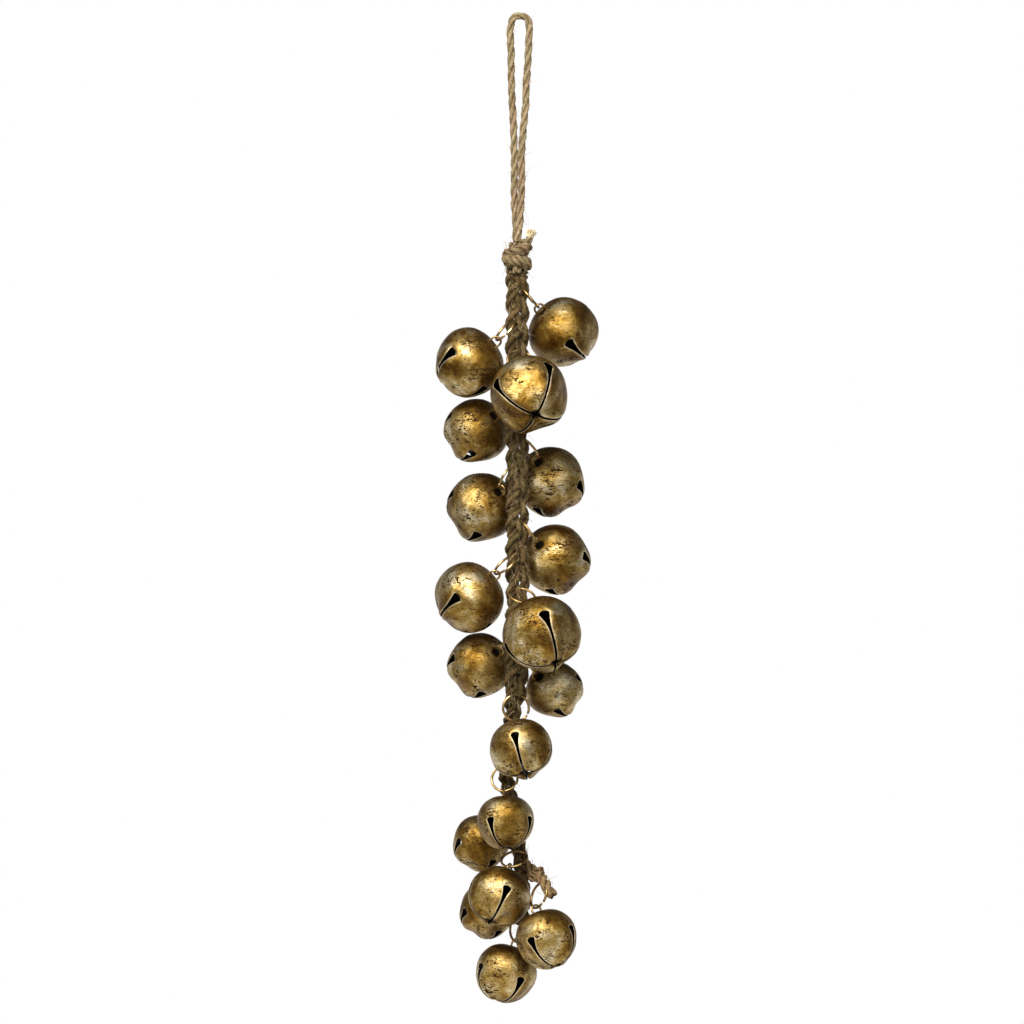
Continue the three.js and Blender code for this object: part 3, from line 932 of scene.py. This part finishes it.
def polar_rows(radius):
    """Polar angles of the shell's rows, close together round the neck and the keyhole's head."""
    centre, head = keyhole_head(radius)
    upper = np.radians(np.concatenate([[1.2, 4, 6.5, 8, 9.5, 11, 12.5, 14, 16], np.arange(20, 81, 4)]))
    arch = KEYHOLE_CORNER + KEYHOLE_ARCH * np.cos(np.radians([0, 14, 30, 48, 68, 90]))
    heights = centre + head * np.concatenate([arch, [0.3, 0.12, -0.1, -0.35]])
    around_head = np.arccos(heights / radius)
    tip = math.pi - math.asin(0.75 * SLIT_WIDTH / radius)
    lower = np.linspace(around_head[-1], tip, 24)[1:]
    return np.concatenate([upper, around_head, lower]), len(upper)


def dent(directions, seed):
    """Shallow knocks and unevenness of hand-finished sheet, all inwards, so that neighbours keep clear."""
    broad_shift, fine_shift = Vector((seed * 3.7, 0, 0)), Vector((0, seed * 5.3, 0))
    uneven = np.array([
        0.65 * noise.noise(Vector(d) * 1.7 + broad_shift) + 0.35 * noise.noise(Vector(d) * 4.3 + fine_shift)
        for d in directions
    ])
    return uneven - uneven.max()


def petal_wall(radius, polars, first_cut, seed, whole_radius, knock_depth, clearance):
    """One wall of the shell in rows of four quarters. Below first_cut the quarters part at the slits."""
    rows = []
    for row, polar in enumerate(polars):
        edge = 0.0
        if row > first_cut:
            half = float(keyhole_half_width(whole_radius, whole_radius * math.cos(polar)))
            level_radius = shell_reach(radius, polar, 0.0) * math.sin(polar)
            edge = math.asin(min(half / max(level_radius, 1e-9), math.sin(math.pi / 4)))
        across = lerp(edge, math.pi / 2 - edge, COLUMN_SHARES)
        rows.append([quarter * math.pi / 2 + across for quarter in range(4)])
    around = np.array(rows)
    polar = np.broadcast_to(polars[:, None, None], around.shape)
    level = np.sin(polar)
    direction = np.stack([level * np.cos(around), level * np.sin(around), np.cos(polar)], axis=-1)
    knocks = dent(direction.reshape(-1, 3), seed).reshape(around.shape) * knock_depth - clearance
    sunk = neck_share(whole_radius, polar) * NECK_DEPTH
    return direction * (shell_reach(radius, polar, around) + knocks - sunk)[..., None]


def shell_faces(rows, columns, first_cut):
    """Faces of the outer wall (0) and the inner wall (1), and of the rims between the two."""

    def at(wall, row, quarter, column):
        return ((wall * rows + row) * 4 + quarter) * columns + column

    inner = at(1, 0, 0, 0)
    faces = []
    for row in range(rows - 1):
        for quarter in range(4):
            for column in range(columns - 1):
                a, b = at(0, row, quarter, column), at(0, row, quarter, column + 1)
                c, d = at(0, row + 1, quarter, column + 1), at(0, row + 1, quarter, column)
                faces.append((a, d, c, b))
                faces.append((a + inner, b + inner, c + inner, d + inner))
            if row >= first_cut:
                for column, way in ((0, -1), (columns - 1, 1)):
                    a, b = at(0, row, quarter, column), at(0, row + 1, quarter, column)
                    faces.append((a, b, b + inner, a + inner)[::way])
    for quarter in range(4):
        for column in range(columns - 1):
            a, b = at(0, rows - 1, quarter, column), at(0, rows - 1, quarter, column + 1)
            faces.append((a, a + inner, b + inner, b))
    return faces


def bell_shell(chain, index):
    """The stamped shell: an outer and an inner wall, parted by crossed keyhole slits, with rolled rims."""
    radius = chain.radius
    polars, first_cut = polar_rows(radius)
    outer = petal_wall(radius, polars, first_cut, index, radius, DENT_DEPTH, SWING_CLEARANCE)
    inner = petal_wall(radius - SHELL_THICKNESS, polars, first_cut, index, radius, DENT_DEPTH / 3, 0.0)
    rows, _, columns, _ = outer.shape

    # The rims roll a little inwards, so that they catch the light.
    below = (np.arange(rows) > first_cut)[:, None, None]
    lip = np.exp(-((COLUMN_SHARES * LIP_SHARPNESS) ** 2))
    lip = lip + np.exp(-(((1 - COLUMN_SHARES) * LIP_SHARPNESS) ** 2))
    roll = (np.where(below, lip, 0.0) * RIM_ROLL_SHARE * SHELL_THICKNESS)[..., None]
    outer = outer - unit(outer) * roll
    inner = inner + unit(inner) * roll

    # Values for the material: the worn rims, and the inner wall and the sunken neck, where painted shade
    # darkens the gold
    near_rim = np.minimum(COLUMN_SHARES, 1 - COLUMN_SHARES)
    rim = np.where(below, np.exp(-((near_rim * WORN_RIM_SHARPNESS) ** 2)), 0.0)
    rim = np.broadcast_to(rim, (rows, 4, columns)).ravel()
    neck = np.repeat(neck_share(radius, polars), 4 * columns)
    inside = np.repeat([0.0, 1.0], rim.size)

    spin = chain.spin
    turn = np.array([[math.cos(spin), math.sin(spin), 0], [-math.sin(spin), math.cos(spin), 0], [0, 0, 1]])
    points = np.vstack([chain.bell_points(wall.reshape(-1, 3) @ turn) for wall in (outer, inner)])
    parts = MeshParts()
    parts.add(points, shell_faces(rows, columns, first_cut), rim=np.concatenate([rim, rim * 0.5]),
              inside=inside, neck=np.concatenate([neck, neck]))
    label = chain.label
    shell = parts.make(f"bell_{label}_petals", GOLD, f"bell_{label}", [f"bell_{label}_shell"])
    weld_and_cap(shell)


def weld_and_cap(shell):
    """Joins the quarters above the slits and closes the crown of both walls."""
    mesh = bmesh.new()
    mesh.from_mesh(shell.data)
    bmesh.ops.remove_doubles(mesh, verts=mesh.verts, dist=WELD_DISTANCE)
    holes = [e for e in mesh.edges if e.is_boundary]
    bmesh.ops.holes_fill(mesh, edges=holes, sides=0)
    bmesh.ops.recalc_face_normals(mesh, faces=mesh.faces)
    for face in mesh.faces:
        face.smooth = True
    mesh.to_mesh(shell.data)
    mesh.free()


def bail(chain):
    """A wire staple over the ring, its legs pushed through the crown and crimped apart inside."""
    half = BAIL_WIDTH / 2
    top = chain.crown + BAIL_RISE - half
    seat = chain.crown - NECK_DEPTH - SHELL_THICKNESS - CRIMP_DEPTH
    arch = [(half * math.cos(a), top + half * math.sin(a)) for a in np.radians(np.linspace(180, 0, 19))]
    left = [(-half - out, seat + rise) for out, rise in CRIMP_POINTS]
    right = [(-x, z) for x, z in left][::-1]
    flat = smooth_route([(x, 0, z) for x, z in [*left, *arch, *right]], BAIL_STEPS)
    points, faces = tube(flat, rounded_ends(flat, BAIL_WIRE_DIAMETER / 2), WIRE_SIDES)
    parts = MeshParts()
    parts.add(chain.bell_points(points), faces)
    parts.make(f"bell_{chain.label}_bail", WIRE, f"bell_{chain.label}")


def jump_ring(chain):
    """A split ring of round wire in the plane that the cord's strands and the bail share."""
    half_split = RING_SPLIT / RING_DIAMETER
    radius = RING_DIAMETER / 2
    angle = RING_SPLIT_TURN + np.linspace(half_split, TURN - half_split, RING_STEPS)
    drift = np.linspace(-0.5, 0.5, RING_STEPS) * 0.35 * RING_WIRE_DIAMETER
    flat = np.stack([drift, radius * np.cos(angle), radius * np.sin(angle)], axis=1)
    points, faces = tube(flat, rounded_ends(flat, RING_WIRE_DIAMETER / 2), WIRE_SIDES)
    parts = MeshParts()
    parts.add(chain.ring_points(points), faces)
    label = chain.label
    parts.make(f"bell_{label}_jump_ring", WIRE, f"ring_{label}", [f"bell_{label}_ring"])


def pellet(chain, index):
    """A slightly uneven ball where the part's pellet lies."""
    low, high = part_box(f"bell_{chain.label}_pellet")
    centre = np.array((low + high) / 2)
    angle = np.linspace(0, TURN, PELLET_COLUMNS + 1)[:-1]
    polar = np.linspace(0, math.pi, PELLET_ROWS + 2)[1:-1]
    level = np.sin(polar)
    rows = np.stack([np.outer(level, np.cos(angle)), np.outer(level, np.sin(angle)),
                     np.outer(np.cos(polar), np.ones(PELLET_COLUMNS))], axis=-1).reshape(-1, 3)
    directions = np.vstack([rows, [(0, 0, 1)], [(0, 0, -1)]])
    uneven = 1 + 0.03 * dent(directions, index + 50)

    following = [(k + 1) % PELLET_COLUMNS for k in range(PELLET_COLUMNS)]
    faces = []
    for start in range(0, len(rows) - PELLET_COLUMNS, PELLET_COLUMNS):
        below = start + PELLET_COLUMNS
        faces += [(start + k, below + k, below + m, start + m) for k, m in enumerate(following)]
    top, bottom, last = len(rows), len(rows) + 1, len(rows) - PELLET_COLUMNS
    faces += [(top, k, m) for k, m in enumerate(following)]
    faces += [(bottom, last + m, last + k) for k, m in enumerate(following)]
    parts = MeshParts()
    parts.add(centre + directions * uneven[:, None] * PELLET_DIAMETER / 2, faces)
    label = chain.label
    parts.make(f"bell_{label}_ball", STEEL, f"pellet_{label}", [f"bell_{label}_pellet"])


for index, row in enumerate(BELLS):
    chain = Chain(f"{index + 1:02d}", *row)
    bell_shell(chain, index)
    bail(chain)
    jump_ring(chain)
    pellet(chain, index)


# Floor, world and lights

def floor():
    """A round pale floor that takes the shadow and fades into the white towards its edge."""
    angle = np.linspace(0, TURN, FLOOR_CORNERS, endpoint=False)
    rim = [(FLOOR_RADIUS * math.cos(a), FLOOR_RADIUS * math.sin(a), FLOOR_LEVEL) for a in angle]
    mesh = bpy.data.meshes.new("floor")
    mesh.from_pydata(rim, [], [tuple(range(FLOOR_CORNERS))])
    g = Graph(bpy.data.materials.new("floor"))
    mesh.materials.append(g.finish(Base_Color=FLOOR_COLOUR, Roughness=0.9))
    out = g.node("ShaderNodeVectorMath", {0: g.stretch(g.place(), (1, 1, 0))}, operation="LENGTH")
    fade = g.range(out.outputs["Value"], FADE_START, FADE_END)
    rays = g.node("ShaderNodeLightPath").outputs
    seen = g.math("MAXIMUM", rays["Is Camera Ray"], rays["Is Glossy Ray"])
    white = g.node("ShaderNodeEmission", {"Color": WHITE, "Strength": seen})
    pale = g.tree.nodes["Principled BSDF"]
    mixed = g.node("ShaderNodeMixShader", {0: fade, 1: pale.outputs[0], 2: white.outputs[0]})
    g.connect(g.tree.nodes["Material Output"], {"Surface": mixed.outputs[0]})
    piece = bpy.data.objects.new("floor", mesh)
    bpy.context.scene.collection.objects.link(piece)


def world():
    """White to the camera. The metal sees white behind and below, and a wide soft light over the camera."""
    made = bpy.data.worlds.new("studio")
    bpy.context.scene.world = made
    g = Graph(made)
    direction = g.node("ShaderNodeTexCoord").outputs["Generated"]
    split = g.node("ShaderNodeSeparateXYZ", {0: direction}).outputs
    behind = g.range(split["Y"], -0.05, 0.45, 0.0, 0.85)
    below = g.range(split["Z"], 0.55, -0.15, 0.05, 1.0)
    facing = g.node("ShaderNodeVectorMath", {0: direction, 1: OVER_THE_CAMERA}, operation="DOT_PRODUCT")
    overhead = g.range(facing.outputs["Value"], 0.3, 1.0, 0.0, 0.7)
    in_metal = g.math("MAXIMUM", g.math("MULTIPLY", behind, below), overhead)
    rays = g.node("ShaderNodeLightPath").outputs
    strength = g.math("MAXIMUM", in_metal, rays["Is Camera Ray"])
    seen = g.node("ShaderNodeBackground", {"Color": WHITE, "Strength": strength})
    soft = g.tree.nodes["Background"]
    g.connect(soft, {"Color": SOFT_LIGHT_COLOUR, "Strength": SOFT_LIGHT_STRENGTH})
    sharp = g.math("MAXIMUM", rays["Is Camera Ray"], rays["Is Glossy Ray"])
    sharp = g.math("MAXIMUM", sharp, rays["Is Transmission Ray"])
    mixed = g.node("ShaderNodeMixShader", {0: sharp, 1: soft.outputs[0], 2: seen.outputs[0]})
    g.connect(g.tree.nodes["World Output"], {"Surface": mixed.outputs[0]})


def softbox(name, place, aim, size, watts, colour):
    """A soft rectangular lamp, aimed at a point."""
    data = bpy.data.lights.new(name, "AREA")
    data.shape = "RECTANGLE"
    data.size, data.size_y = size
    data.energy = watts
    data.color = colour
    lamp = bpy.data.objects.new(name, data)
    lamp.location = place
    lamp.rotation_euler = (Vector(aim) - Vector(place)).to_track_quat("-Z", "Y").to_euler()
    bpy.context.scene.collection.objects.link(lamp)


floor()
world()
softbox("key", (-0.55, -1.2, 0.95), STRAND_MIDDLE, size=(1.15, 0.95), watts=51, colour=(1, 0.98, 0.955))
softbox("upper", (0.12, -0.66, 0.02), UPPER_BELLS, size=(0.42, 0.4), watts=3, colour=(1, 0.985, 0.965))
softbox("fill", (1.3, -1.0, 0.2), STRAND_MIDDLE, size=(0.6, 1.2), watts=3, colour=(1, 1, 1))

bpy.context.scene.view_settings.view_transform = "Standard"
